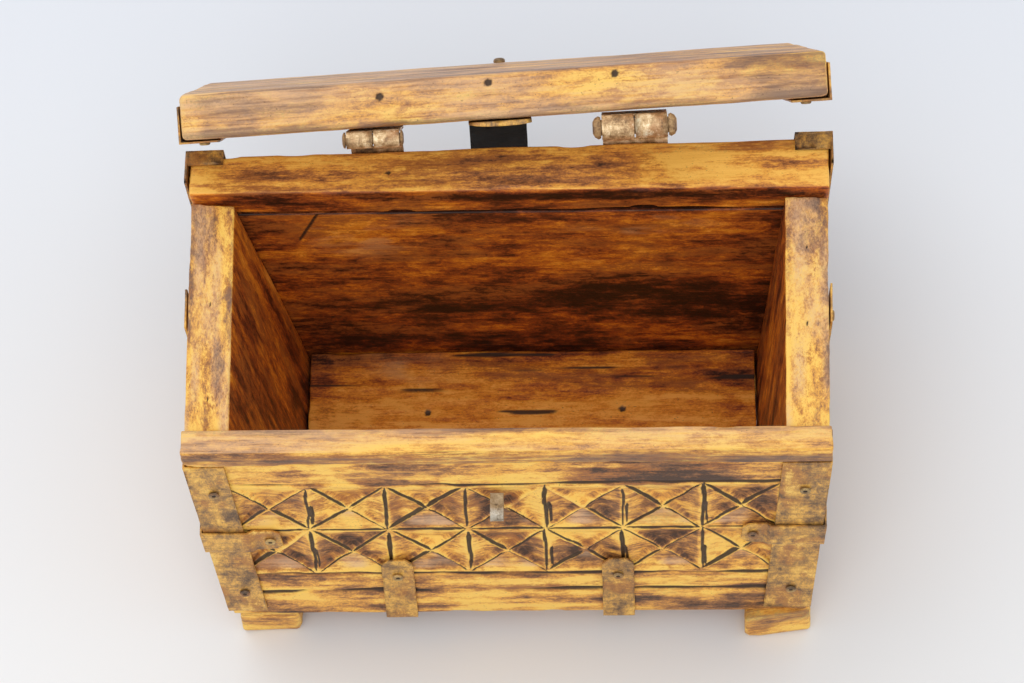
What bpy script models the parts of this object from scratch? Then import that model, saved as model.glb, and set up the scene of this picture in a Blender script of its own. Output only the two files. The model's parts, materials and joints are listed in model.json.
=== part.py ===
"""Hand-made wooden jewelry box with iron straps, a flat hinged lid and a hasp.

Built in the box frame: X along the front, Y from the front face to the back, Z up from the surface
that the feet stand on. The lid is built lying closed and turned back on its hinge to the open pose.
"""

import math

import bmesh
import bpy
from mathutils import Matrix, Vector

MM = 0.001
GAP = 0.3 * MM                      # clearance between pieces that touch

# Carcass
WIDTH = 250 * MM                    # over the front rail
BACK_WIDTH = 256 * MM               # over the back rail
DEPTH = 140.5 * MM                  # front face to back face at mid width
BACK_SKEW = math.radians(1.4)       # the back face runs out of square
FLARE = {-1: 9.6 * MM, 1: 6.75 * MM}     # how far each side leans out over FLARE_RISE
FLARE_RISE = 130 * MM
FOOT_HEIGHT = 16 * MM
FRONT_RIM = FOOT_HEIGHT + 130 * MM
SIDE_RIM = FOOT_HEIGHT + 126 * MM
BACK_RIM = FOOT_HEIGHT + 131 * MM
FRONT_RAIL_BOTTOM = FRONT_RIM - 11 * MM
FRONT_RAIL_PROUD = 1.5 * MM
FRONT_RAIL_OVERHANG = 0.8 * MM
BACK_RAIL_BOTTOM = BACK_RIM - 15 * MM
FRONT_THICKNESS = 10 * MM
BACK_INNER = 118.5 * MM
SIDE_TOP_THICKNESS = 17.5 * MM
INNER_FLOOR_LEFT = -87.5 * MM       # the left board is hewn thicker towards the floor
INNER_FLOOR_RIGHT = 100 * MM
FLOOR_TOP = FOOT_HEIGHT + 13 * MM

# Carved band: two rows of square panels, each cut by a saltire into four chips
BAND_LEFT = -110 * MM
CELL_WIDTH = 30.9 * MM
CELL_HEIGHT = 33.8 * MM
CELL_COLUMNS = 7
CELL_ROWS = 2
BAND_BOTTOM = FOOT_HEIGHT + 33.4 * MM
CHIP_DEPTH = 2.0 * MM
CHIP_INSET = 0.86                   # size of a chip against the triangle that it fills
GROOVE_HEIGHTS = (FOOT_HEIGHT + 18.3 * MM, FOOT_HEIGHT + 32 * MM, FOOT_HEIGHT + 102.5 * MM)
GROOVE_DEPTH = 1.2 * MM
GROOVE_SLOPE = 1.2                  # half width of a groove against its depth
CUTTER_LIFT = 0.6 * MM              # cutters start this far in front of the face

# Feet
FOOT_WIDTH = {-1: 25.5 * MM, 1: 27.5 * MM}
FOOT_DEPTH = 28 * MM
FOOT_INSET = {-1: 2.0 * MM, 1: -2.2 * MM}       # from the side's outer face
FOOT_FRONT = {-1: -0.1 * MM, 1: -1.2 * MM}      # front face at the outer end
FOOT_TURN = {-1: 0, 1: 3.8 * MM}                # how much further forward its inner end stands
FOOT_BACK = 3 * MM

# Worn edges
SOFT_EDGE = 1.6 * MM
PANEL_EDGE = 1.0 * MM
RAIL_EDGE = 2.0 * MM
LID_EDGE = 2.2 * MM
FOOT_EDGE = 2.5 * MM

# Ironwork
STRAP = 1.0 * MM                    # thickness of the straps
CORNER_WIDTH = {-1: 15 * MM, 1: 18 * MM}
CORNER_BOTTOM = FOOT_HEIGHT + 5 * MM
WRAP_HEIGHT = 14 * MM
WRAP_MIDDLE = {-1: FOOT_HEIGHT + 62.5 * MM, 1: FOOT_HEIGHT + 65 * MM}
WRAP_END = {-1: -91 * MM, 1: 91 * MM}
SIDE_STRAP_FRONT = 60 * MM
SIDE_STRAP_WIDTH = 18 * MM
SIDE_STRAP_MARGIN = 2 * MM
BASE_STRAP_X = {-1: -46.4 * MM, 1: 42 * MM}
BASE_STRAP_WIDTH = 13 * MM
BASE_STRAP_TOP = FOOT_HEIGHT + 45 * MM
CORNER_RETURN = 14 * MM              # how far a corner strap runs round onto the side
WRAP_STEP = 3 * MM
WRAP_RETURN = 34 * MM
BACK_CORNER_LEG = 14 * MM
BACK_TAB = 7 * MM
LID_STRAP_WIDTH = 15 * MM
LID_STRAP_MARGIN = 3 * MM
LID_STRAP_DROP = 5 * MM             # from the lid's underside to the strap's lower edge
NAIL_RADIUS = 2.3 * MM
NAIL_HEIGHT = 1.2 * MM
WRAP_NAIL_INSET = 4.5 * MM
CORNER_NAIL_INSET = 8 * MM
CORNER_NAIL_Z = {"top": FOOT_HEIGHT + 99 * MM, "foot": FOOT_HEIGHT + 21 * MM}
SIDE_NAIL_Z = {"top": SIDE_RIM - 12 * MM, "foot": FOOT_HEIGHT + 16 * MM}
BACK_NAIL_Z = FOOT_HEIGHT + 90 * MM
BACK_NAIL_INSET = 7 * MM
BASE_NAIL_Z = FOOT_HEIGHT + 33 * MM
LID_NAIL_MARGIN = 14 * MM

# Lid, in its own frame: U along the hinge edge, V towards the front, W up through its thickness
LID_WIDTH_REAR = 256 * MM
LID_WIDTH_FRONT = 248 * MM
LID_LENGTH = 134 * MM
LID_THICKNESS = 18.7 * MM
LID_REAR = 131.2 * MM               # in front of the tabs folded over the back rail
LID_SEAT_REAR = BACK_RIM + GAP
LID_SEAT_FRONT = FRONT_RIM + 1.3 * GAP
LID_PITCH = math.atan2(LID_SEAT_REAR - LID_SEAT_FRONT, LID_REAR)
LID_OPEN = math.radians(232.65)      # how far the lid has turned back from closed
LID_TOP = LID_SEAT_REAR + LID_THICKNESS

# Hinges: the pin line climbs and runs out towards the right, as the straps were nailed on
HINGE_X = {-1: -52.7 * MM, 1: 50.5 * MM}
EYE_RADIUS = {-1: 3.0 * MM, 1: 4.2 * MM}        # to the middle of the rolled strap
EYE_WALL = {-1: 1.2 * MM, 1: 1.4 * MM}
HINGE_WIDTH = {-1: 21 * MM, 1: 26 * MM}
PIN_HEAD = {-1: 1.2 * MM, 1: 3.2 * MM}          # length of the riveted-over ends
PIN_POINT = {
    -1: Vector((HINGE_X[-1], LID_REAR - 3.2 * MM, LID_TOP + 4.2 * MM)),
    1: Vector((HINGE_X[1], LID_REAR + 0.4 * MM, LID_TOP + 6.0 * MM)),
}
PIN_CLEARANCE = 0.35 * MM
PIN_OVERRUN = 0.4 * MM              # from the barrel's end to the pin's head
KNUCKLE_SPACE = 0.25 * MM
BOX_LEAF_DROP = 24 * MM             # below the back rail's top edge
LID_LEAF_REACH = 36 * MM
BOX_BEND = BACK_RIM + 0.6 * MM       # the box leaf leans forward from here to its eye
LID_SHOULDER = 3 * MM               # from the eye to where the lid leaf takes its full width
PLATE_LAP = 1 * MM
LEAF_NAIL_MARGIN = 9 * MM

# Hasp and staple
HASP_X = -2.2 * MM
HASP_WIDTH = 25 * MM
HASP_LENGTH = 71 * MM
HASP_THICKNESS = 1.0 * MM
HASP_EYE_RADIUS = 1.8 * MM
HASP_PIN_RADIUS = 0.9 * MM
HASP_AXIS_W = 2.4 * MM              # height of the hasp's pin above the lid's underside
HASP_EYE_SPACE = 0.8 * MM
HASP_CORNER = 5 * MM
HASP_LUG = 2.1 * MM                 # width of a lug, and half its height
HASP_LUG_SPACE = 1.0 * MM
HASP_BAND = 2.2 * MM                 # thickness of the band that holds the hasp, over the lid's top
HASP_BAND_MARGIN = 0.4 * MM
SLOT_MARGIN = Vector((1.4 * MM, 0.9 * MM))     # clearance of the slot round the staple
RIVET_INSET = 17 * MM               # from the lid's front edge, clear of the front rail
RIVET_OFFSET = 2 * MM
RIVET_RADIUS = 2.6 * MM
RIVET_HEIGHT = 2.4 * MM
STAPLE_X = -4.5 * MM
STAPLE_WIDTH = 5.2 * MM
STAPLE_REACH = 10.5 * MM
STAPLE_HEIGHT = 7 * MM
STAPLE_STRIP = 1.2 * MM
STAPLE_MIDDLE = FOOT_HEIGHT + 93 * MM

SIDES = ((-1, "left"), (1, "right"))

COLOURS = {
    "wood": ((0.42, 0.25, 0.09), 0.62, 0.0),
    "dark_wood": ((0.16, 0.08, 0.035), 0.7, 0.0),
    "strap": ((0.38, 0.27, 0.12), 0.5, 0.8),
    "nail": ((0.3, 0.22, 0.12), 0.45, 0.9),
    "steel": ((0.62, 0.58, 0.5), 0.4, 0.9),
    "black_iron": ((0.02, 0.018, 0.016), 0.55, 0.7),
}


# ---------------------------------------------------------------- shape of the carcass

def half_width(y, z, side):
    """Outer face of a side board at depth y and height z, from the middle of the box."""
    spread = WIDTH / 2 + (BACK_WIDTH - WIDTH) / 2 * y / DEPTH
    return spread - FLARE[side] * (FRONT_RIM - z) / FLARE_RISE


def back_face(x):
    return DEPTH + math.tan(BACK_SKEW) * x


def inner_face(side, y, z):
    """Inner face of a side board: set by its top edge and by where it meets the floor."""
    top = side * (half_width(y, SIDE_RIM, side) - SIDE_TOP_THICKNESS)
    floor = INNER_FLOOR_LEFT if side < 0 else INNER_FLOOR_RIGHT
    share = (SIDE_RIM - z) / (SIDE_RIM - FLOOR_TOP)
    return top + (floor - top) * share


# ---------------------------------------------------------------- building blocks

def clear_scene():
    for obj in list(bpy.data.objects):
        bpy.data.objects.remove(obj)


def material(name, kind):
    colour, roughness, metallic = COLOURS[kind]
    mat = bpy.data.materials.new(name)
    mat.use_nodes = True
    shader = mat.node_tree.nodes["Principled BSDF"]
    shader.inputs["Base Color"].default_value = (*colour, 1)
    shader.inputs["Roughness"].default_value = roughness
    shader.inputs["Metallic"].default_value = metallic
    return mat


def empty(name, matrix, parent):
    obj = bpy.data.objects.new(name, None)
    bpy.context.collection.objects.link(obj)
    obj.parent = parent
    obj.matrix_basis = matrix
    return obj


def finish(name, bm, kind, parent, matrix=None, smooth=False):
    """Turn a bmesh into the named object, its faces pointing out."""
    bmesh.ops.recalc_face_normals(bm, faces=bm.faces)
    mesh = bpy.data.meshes.new(name)
    bm.to_mesh(mesh)
    bm.free()
    if smooth:
        mesh.shade_smooth()
        mesh.set_sharp_from_angle(angle=math.radians(40))
    mesh.materials.append(material(name, kind))
    obj = bpy.data.objects.new(name, mesh)
    bpy.context.collection.objects.link(obj)
    obj.parent = parent
    obj.matrix_basis = matrix or Matrix.Identity(4)
    return obj


def bevel(obj, width, segments=2, angle=35):
    mod = obj.modifiers.new("Edges", "BEVEL")
    mod.width = width
    mod.segments = segments
    mod.limit_method = "ANGLE"
    mod.angle_limit = math.radians(angle)
    return obj


def boolean(obj, other, operation):
    """Join another object to this one, or cut it away; the other one is left as a guide."""
    other.hide_render = True
    other.display_type = "WIRE"
    mod = obj.modifiers.new("Boolean", "BOOLEAN")
    mod.operation = operation
    mod.solver = "EXACT"
    mod.object = other
    return obj


def loft(bm, *loops):
    """Closed solid through loops of equal length, capped at both ends."""
    rings = [[bm.verts.new(point) for point in loop] for loop in loops]
    count = len(rings[0])
    for lower, upper in zip(rings, rings[1:]):
        for i in range(count):
            j = (i + 1) % count
            bm.faces.new((lower[i], lower[j], upper[j], upper[i]))
    bm.faces.new(rings[0])
    bm.faces.new(rings[-1])


def block(bm, x, y, z, warp=None):
    """Box between two values on each axis; warp moves its corners onto a leaning face."""
    def corner(px, py, pz):
        point = Vector((px, py, pz))
        return warp(point) if warp else point
    loft(bm, *[[corner(x[a], y[b], pz) for a, b in ((0, 0), (1, 0), (1, 1), (0, 1))] for pz in z])


def solid(name, kind, parent, x, y, z, warp=None, matrix=None):
    bm = bmesh.new()
    block(bm, x, y, z, warp)
    return finish(name, bm, kind, parent, matrix)


def extrude_outline(bm, outline, axis, span):
    """Prism from a flat outline, drawn in the two axes other than the one it runs along."""
    def place(pair, value):
        coords = list(pair)
        coords.insert(axis, value)
        return coords
    loft(bm, [place(pair, span[0]) for pair in outline], [place(pair, span[1]) for pair in outline])


def arc(centre, radius, start, end, steps):
    """Points on a circle, angles in degrees, as pairs."""
    for i in range(steps + 1):
        angle = math.radians(start + (end - start) * i / steps)
        yield (centre[0] + radius * math.cos(angle), centre[1] + radius * math.sin(angle))


def tube(bm, matrix, inner, outer, length, segments=28):
    """Ring or, with no inner radius, a rod along X, centred on the matrix."""
    def loop(radius, x):
        steps = [2 * math.pi * i / segments for i in range(segments)]
        return [bm.verts.new(matrix @ Vector((x, radius * math.cos(a), radius * math.sin(a)))) for a in steps]
    ends = (-length / 2, length / 2)
    outside = [loop(outer, x) for x in ends]
    if not inner:
        bm.faces.new(outside[0])
        bm.faces.new(outside[1])
    inside = [loop(inner, x) for x in ends] if inner else None
    for i in range(segments):
        j = (i + 1) % segments
        bm.faces.new((outside[0][i], outside[0][j], outside[1][j], outside[1][i]))
        if inner:
            bm.faces.new((inside[0][i], inside[0][j], inside[1][j], inside[1][i]))
            for k in (0, 1):
                bm.faces.new((outside[k][i], outside[k][j], inside[k][j], inside[k][i]))


def nail_head(bm, point, normal, radius=NAIL_RADIUS, height=NAIL_HEIGHT, segments=12):
    """Low dome standing GAP off the metal or wood under it."""
    normal = Vector(normal).normalized()
    turn = Vector((0, 0, 1)).rotation_difference(normal).to_matrix().to_4x4()
    place = Matrix.Translation(Vector(point) + normal * GAP) @ turn
    rings = []
    for share, lift in ((1.0, 0.0), (0.93, 0.45), (0.62, 0.85)):
        circle = arc((0, 0), radius * share, 0, 360 * (segments - 1) / segments, segments - 1)
        rings.append([place @ Vector((x, y, height * lift)) for x, y in circle])
    loft(bm, *rings)


def nail(name, parent, point, normal, matrix=None, radius=NAIL_RADIUS, height=NAIL_HEIGHT):
    bm = bmesh.new()
    nail_head(bm, point, normal, radius, height)
    return finish(name, bm, "nail", parent, matrix, smooth=True)


# ---------------------------------------------------------------- wooden carcass

def chip_pyramids(bm):
    """Three-sided pyramids, apex inwards, one in each of the four triangles of every panel."""
    for column in range(CELL_COLUMNS):
        for row in range(CELL_ROWS):
            left = BAND_LEFT + column * CELL_WIDTH
            low = BAND_BOTTOM + row * CELL_HEIGHT
            corners = [Vector((left + CELL_WIDTH * a, low + CELL_HEIGHT * b)) for a, b in
                       ((0, 0), (1, 0), (1, 1), (0, 1))]
            centre = sum(corners, Vector((0, 0))) / 4
            for i in range(4):
                triangle = (corners[i], corners[(i + 1) % 4], centre)
                middle = sum(triangle, Vector((0, 0))) / 3
                rim = [middle + (p - middle) * CHIP_INSET for p in triangle]
                base = [bm.verts.new((p.x, -CUTTER_LIFT, p.y)) for p in rim]
                apex = bm.verts.new((middle.x, CHIP_DEPTH, middle.y))
                bm.faces.new(base)
                for a in range(3):
                    bm.faces.new((base[a], base[(a + 1) % 3], apex))


def groove_prisms(bm):
    for z in GROOVE_HEIGHTS:
        half = GROOVE_DEPTH * GROOVE_SLOPE
        outline = [(-CUTTER_LIFT, z - half), (GROOVE_DEPTH, z), (-CUTTER_LIFT, z + half)]
        extrude_outline(bm, outline, 0, (-WIDTH, WIDTH))


def front_board(parent):
    def fit(point):
        side = -1 if point.x < 0 else 1
        return Vector((side * half_width(point.y, point.z, side), point.y, point.z))
    board = solid("front_board", "wood", parent, (-1, 1), (0, FRONT_THICKNESS),
                  (FOOT_HEIGHT, FRONT_RAIL_BOTTOM - GAP), fit)
    for label, build in (("chip_cutter", chip_pyramids), ("groove_cutter", groove_prisms)):
        bm = bmesh.new()
        build(bm)
        boolean(board, finish(label, bm, "dark_wood", parent), "DIFFERENCE")


def front_rail(parent):
    half = WIDTH / 2
    rail = solid("front_rail", "wood", parent, (-half - FRONT_RAIL_OVERHANG, half + FRONT_RAIL_OVERHANG),
                 (-FRONT_RAIL_PROUD, FRONT_THICKNESS), (FRONT_RAIL_BOTTOM, FRONT_RIM))
    bevel(rail, RAIL_EDGE)


def back_boards(parent):
    """Lower back panel and the rail above it, both to the same skewed outer face."""
    def fit(point):
        side = -1 if point.x < 0 else 1
        x = side * half_width(DEPTH, point.z, side)
        y = back_face(x) if point.y > BACK_INNER + GAP else BACK_INNER
        return Vector((x, y, point.z))
    spans = (("back_panel", (FOOT_HEIGHT, BACK_RAIL_BOTTOM - GAP), PANEL_EDGE),
             ("back_rail", (BACK_RAIL_BOTTOM, BACK_RIM), SOFT_EDGE))
    for name, z, edge in spans:
        bevel(solid(name, "wood", parent, (-1, 1), (BACK_INNER, DEPTH), z, fit), edge)


def side_boards(parent):
    y = (FRONT_THICKNESS + GAP, BACK_INNER - GAP)
    for side, label in SIDES:
        def fit(point, side=side):
            outer = side * half_width(point.y, point.z, side)
            x = outer if point.x > 0 else inner_face(side, point.y, point.z)
            return Vector((x, point.y, point.z))
        board = solid("side_board_" + label, "wood", parent, (-1, 1), y, (FOOT_HEIGHT, SIDE_RIM), fit)
        bevel(board, SOFT_EDGE)


def floor_board(parent):
    def fit(point):
        side = -1 if point.x < 0 else 1
        return Vector((inner_face(side, point.y, point.z) - side * GAP, point.y, point.z))
    solid("floor_board", "dark_wood", parent, (-1, 1), (FRONT_THICKNESS + GAP, BACK_INNER - GAP),
          (FOOT_HEIGHT, FLOOR_TOP), fit)


def feet(parent):
    for side, label in SIDES:
        outer = side * (half_width(0, FOOT_HEIGHT, side) - FOOT_INSET[side])
        x = sorted((outer, outer - side * FOOT_WIDTH[side]))
        front = FOOT_FRONT[side]
        back = back_face(outer) - FOOT_BACK

        def turned(point, outer=outer, side=side):
            share = side * (outer - point.x) / FOOT_WIDTH[side]
            return Vector((point.x, point.y - FOOT_TURN[side] * share, point.z))
        for place, y, warp in (("front", (front, front + FOOT_DEPTH), turned),
                               ("back", (back - FOOT_DEPTH, back), None)):
            foot = solid("foot_%s_%s" % (place, label), "wood", parent, x, y, (0, FOOT_HEIGHT - GAP), warp)
            bevel(foot, FOOT_EDGE)


# ---------------------------------------------------------------- ironwork on the box

def onto_side(side):
    """Coordinates with x measured outwards from the leaning face of one side."""
    def warp(point):
        return Vector((side * (half_width(point.y, point.z, side) + point.x), point.y, point.z))
    return warp


def loft_on_side(name, side, outline, z, parent, kind="strap"):
    """Plan outline, x measured outwards from the side's face, carried up the leaning corner."""
    warp = onto_side(side)
    bm = bmesh.new()
    loft(bm, *[[warp(Vector((x, y, height))) for x, y in outline] for height in z])
    return finish(name, bm, kind, parent)


def front_corner_straps(parent):
    inner, outer = GAP, GAP + STRAP
    for side, label in SIDES:
        width = CORNER_WIDTH[side]
        outline = [(-width, -outer), (outer, -outer), (outer, CORNER_RETURN), (inner, CORNER_RETURN),
                   (inner, -inner), (-width, -inner)]
        loft_on_side("corner_strap_front_" + label, side, outline,
                     (CORNER_BOTTOM, FRONT_RAIL_BOTTOM - GAP), parent)


def wrap_straps(parent):
    """Straps round the front corners, stepped out to pass over the upright corner straps."""
    low, high = GAP, 2 * GAP + STRAP
    step, half = WRAP_STEP, WRAP_HEIGHT / 2
    for side, label in SIDES:
        z = WRAP_MIDDLE[side]
        shoulder = -CORNER_WIDTH[side] - step
        inner_end = side * WRAP_END[side] - half_width(0, z, side)
        rear, rear_end = CORNER_RETURN + step, WRAP_RETURN
        outline = [(inner_end, -low), (shoulder, -low), (shoulder + step * 0.7, -high), (high, -high),
                   (high, rear - step * 0.7), (low, rear), (low, rear_end),
                   (low + STRAP, rear_end), (low + STRAP, rear + 0.6 * MM),
                   (high + STRAP, rear - step * 0.5), (high + STRAP, -high - STRAP),
                   (shoulder + step * 0.5, -high - STRAP), (shoulder - 0.6 * MM, -low - STRAP),
                   (inner_end, -low - STRAP)]
        loft_on_side("wrap_strap_" + label, side, outline, (z - half, z + half), parent)


def side_straps(parent):
    for side, label in SIDES:
        y = (SIDE_STRAP_FRONT, SIDE_STRAP_FRONT + SIDE_STRAP_WIDTH)
        solid("side_strap_" + label, "strap", parent, (GAP, GAP + STRAP), y,
              (FOOT_HEIGHT + SIDE_STRAP_MARGIN, SIDE_RIM - SIDE_STRAP_MARGIN), onto_side(side))


def back_corner_straps(parent):
    """Upright angle on each back corner, with a tab folded over the rail's outer edge."""
    leg = BACK_CORNER_LEG
    for side, label in SIDES:
        corner = half_width(DEPTH, BACK_RIM, side) * side
        face = back_face(corner)
        lean = onto_side(side)
        def warp(point, lean=lean, face=face, side=side):
            moved = lean(Vector((point.x, face, point.z)))
            behind = back_face(moved.x) - face
            return Vector((moved.x, point.y + behind, point.z))
        outline = [(-leg, face + GAP), (GAP, face + GAP), (GAP, face - leg), (GAP + STRAP, face - leg),
                   (GAP + STRAP, face + GAP + STRAP), (-leg, face + GAP + STRAP)]
        bm = bmesh.new()
        heights = (CORNER_BOTTOM, BACK_RIM + GAP + STRAP)
        loft(bm, *[[warp(Vector((x, y, z))) for x, y in outline] for z in heights])
        strap = finish("corner_strap_back_" + label, bm, "strap", parent)
        reach = min(face - (LID_REAR + 2 * GAP), BACK_TAB)
        if reach > STRAP:
            tab = solid("tab_" + label, "strap", parent, (-leg, GAP + STRAP / 2),
                        (face - reach, face + GAP + STRAP / 2),
                        (BACK_RIM + GAP, BACK_RIM + GAP + STRAP * 0.9), warp)
            boolean(strap, tab, "UNION")


def base_straps(parent):
    """Straps up the front, under the floor and up the back."""
    for side, label in SIDES:
        middle = BASE_STRAP_X[side]
        half = BASE_STRAP_WIDTH / 2
        rear = back_face(middle) + GAP * 1.6
        under = FOOT_HEIGHT - GAP
        outline = [(-GAP, BASE_STRAP_TOP), (-GAP, under), (rear, under), (rear, BASE_STRAP_TOP),
                   (rear + STRAP, BASE_STRAP_TOP), (rear + STRAP, under - STRAP),
                   (-GAP - STRAP, under - STRAP), (-GAP - STRAP, BASE_STRAP_TOP)]
        bm = bmesh.new()
        extrude_outline(bm, outline, 0, (middle - half, middle + half))
        finish("base_strap_" + label, bm, "strap", parent)


def front_nails(parent):
    face = -GAP - STRAP
    for side, label in SIDES:
        spots = {"wrap": (WRAP_END[side] + side * WRAP_NAIL_INSET, WRAP_MIDDLE[side]),
                 "base": (BASE_STRAP_X[side], BASE_NAIL_Z)}
        for place, z in CORNER_NAIL_Z.items():
            spots["corner_" + place] = (side * (half_width(0, z, side) - CORNER_NAIL_INSET), z)
        for place, (x, z) in spots.items():
            nail("nail_%s_%s" % (place, label), parent, (x, face, z), (0, -1, 0))


def side_nails(parent):
    middle = SIDE_STRAP_FRONT + SIDE_STRAP_WIDTH / 2
    for side, label in SIDES:
        lean = onto_side(side)
        for place, z in SIDE_NAIL_Z.items():
            point = lean(Vector((1.5 * GAP + STRAP, middle, z)))
            nail("nail_side_%s_%s" % (place, label), parent, point, (side, 0, 0))


def back_nails(parent):
    for side, label in SIDES:
        corner = half_width(DEPTH, BACK_NAIL_Z, side) - BACK_NAIL_INSET
        spots = {"back_corner": (side * corner, BACK_NAIL_Z),
                 "back_base": (BASE_STRAP_X[side], BASE_NAIL_Z)}
        for place, (x, z) in spots.items():
            point = (x, back_face(x) + 1.6 * GAP + STRAP, z)
            nail("nail_%s_%s" % (place, label), parent, point, (0, 1, 0))


def staple(parent):
    """Strip bent into a loop that stands out of the front; the hasp drops over it."""
    radius = STAPLE_HEIGHT / 2
    centre = (-STAPLE_REACH + radius, STAPLE_MIDDLE)
    outer = list(arc(centre, radius, 270, 90, 12))
    inner = list(arc(centre, radius - STAPLE_STRIP, 90, 270, 12))
    outline = [(-GAP, STAPLE_MIDDLE - radius)] + outer + [(-GAP, STAPLE_MIDDLE + radius)]
    outline += [(-GAP, STAPLE_MIDDLE + radius - STAPLE_STRIP)] + inner
    outline += [(-GAP, STAPLE_MIDDLE - radius + STAPLE_STRIP)]
    bm = bmesh.new()
    half = STAPLE_WIDTH / 2
    extrude_outline(bm, outline, 0, (STAPLE_X - half, STAPLE_X + half))
    finish("hasp_staple", bm, "steel", parent, smooth=True)


# ---------------------------------------------------------------- hinges

def hinge_axis():
    return (PIN_POINT[1] - PIN_POINT[-1]).normalized()


def hinge_frame(side):
    """X along the pin line, Z as upright as that allows, origin in the middle of the barrel."""
    along = hinge_axis()
    back = Vector((0, 0, 1)).cross(along).normalized()
    up = along.cross(back)
    frame = Matrix((along, back, up)).transposed().to_4x4()
    return Matrix.Translation(PIN_POINT[side]) @ frame


def knuckle_span(side, part):
    """Where a leaf's eye lies along the pin: the box leaf on the inner half of the left hinge."""
    half = HINGE_WIDTH[side] / 2
    if (part == "box") == (side < 0):
        return (KNUCKLE_SPACE, half)
    return (-half, -KNUCKLE_SPACE)


def leaf(name, side, part, plates, parent, matrix):
    """A rolled eye with its plates joined on."""
    radius, wall = EYE_RADIUS[side], EYE_WALL[side]
    low, high = knuckle_span(side, part)
    bm = bmesh.new()
    tube(bm, Matrix.Translation(((low + high) / 2, 0, 0)), radius - wall / 2, radius + wall / 2, high - low)
    eye = finish(name, bm, "strap", parent, matrix, smooth=True)
    for number, (x, y, z, warp) in enumerate(plates):
        plate = solid("%s_plate_%d" % (name, number), "strap", parent, x, y, z, warp, matrix)
        boolean(eye, plate, "UNION")
    return eye


def box_leaves(root):
    inset, skim = GAP, 0.2 * GAP
    for side, label in SIDES:
        low, high = knuckle_span(side, "box")
        radius, wall = EYE_RADIUS[side], EYE_WALL[side]
        half = HINGE_WIDTH[side] / 2
        face = back_face(HINGE_X[side]) + GAP - PIN_POINT[side].y
        bend = BOX_BEND - PIN_POINT[side].z
        def lean(point, radius=radius, face=face, bend=bend, wall=wall):
            share = max(0, 1 - point.z / bend)
            foot = face + wall / 2
            return Vector((point.x, point.y + foot + (radius - foot) * share, point.z))
        slim = wall / 2 - skim
        plates = [((low + inset, high - inset), (-slim, slim), (bend - PLATE_LAP, 0), lean),
                  ((-half, half), (face, face + wall), (bend - BOX_LEAF_DROP, bend), None)]
        leaf("hinge_leaf_box_" + label, side, "box", plates, root, hinge_frame(side))


def lid_leaves(lid, place):
    inset, skim = GAP, 0.2 * GAP
    for side, label in SIDES:
        frame = place @ hinge_frame(side)
        low, high = knuckle_span(side, "lid")
        radius, wall = EYE_RADIUS[side], EYE_WALL[side]
        half = HINGE_WIDTH[side] / 2
        level = (-radius - wall / 2 + skim, -radius + wall / 2 - skim)
        shoulder = -radius - wall - LID_SHOULDER
        plates = [((low + inset, high - inset), (shoulder - PLATE_LAP, -inset), level, None),
                  ((-half, half), (-LID_LEAF_REACH, shoulder), level, None)]
        leaf("hinge_leaf_lid_" + label, side, "lid", plates, lid, frame)


def hinge_pins(root):
    for side, label in SIDES:
        radius = EYE_RADIUS[side] - EYE_WALL[side] / 2 - PIN_CLEARANCE
        half = HINGE_WIDTH[side] / 2
        head = EYE_RADIUS[side] + EYE_WALL[side] / 2 - GAP
        tip = PIN_HEAD[side]
        profile = [(0, radius), (0, head * 0.9), (tip * 0.3, head), (tip * 0.75, head * 0.82),
                   (tip, head * 0.5)]
        profile = [(PIN_OVERRUN + x, r) for x, r in profile]
        steps = [(-half - x, r) for x, r in reversed(profile)] + [(half + x, r) for x, r in profile]
        bm = bmesh.new()
        loft(bm, *[[(x, cy, cz) for cy, cz in arc((0, 0), r, 0, 345, 23)] for x, r in steps])
        finish("hinge_pin_" + label, bm, "steel", root, hinge_frame(side), smooth=True)


# ---------------------------------------------------------------- lid

def lid_frame():
    """Box coordinates of the closed lid's own frame: X along it, Y away from the front, Z up."""
    return Matrix.Translation((0, LID_REAR, LID_SEAT_REAR)) @ Matrix.Rotation(LID_PITCH, 4, "X")


def lid_half_width(v):
    return (LID_WIDTH_REAR + (LID_WIDTH_FRONT - LID_WIDTH_REAR) * v / LID_LENGTH) / 2


def lid_board(lid, place):
    bm = bmesh.new()
    loops = []
    for w in (0, LID_THICKNESS):
        rear, front = lid_half_width(0), lid_half_width(LID_LENGTH)
        loops.append([(-rear, 0, w), (-front, -LID_LENGTH, w), (front, -LID_LENGTH, w), (rear, 0, w)])
    loft(bm, *loops)
    bevel(finish("lid_board", bm, "wood", lid, place @ lid_frame()), LID_EDGE)


def lid_end_straps(lid, place):
    """A band over each end of the lid, folded down over the end grain."""
    for side, label in SIDES:
        bm = bmesh.new()
        loops = []
        for v in (LID_STRAP_MARGIN, LID_LENGTH - LID_STRAP_MARGIN):
            edge = lid_half_width(v)
            low, top = LID_STRAP_DROP, LID_THICKNESS + GAP
            section = [(edge - LID_STRAP_WIDTH, top), (edge + GAP, top), (edge + GAP, low),
                       (edge + GAP + STRAP, low), (edge + GAP + STRAP, top + STRAP),
                       (edge - LID_STRAP_WIDTH, top + STRAP)]
            loops.append([(side * x, -v, z) for x, z in section])
        loft(bm, *loops)
        finish("lid_strap_" + label, bm, "strap", lid, place @ lid_frame())


def lid_nails(lid, place):
    top = LID_THICKNESS + GAP + STRAP
    for side, label in SIDES:
        for end, v in (("rear", LID_NAIL_MARGIN), ("front", LID_LENGTH - LID_NAIL_MARGIN)):
            point = (side * (lid_half_width(v) - CORNER_NAIL_INSET), -v, top)
            nail("nail_lid_%s_%s" % (end, label), lid, point, (0, 0, 1), place @ lid_frame())


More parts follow.
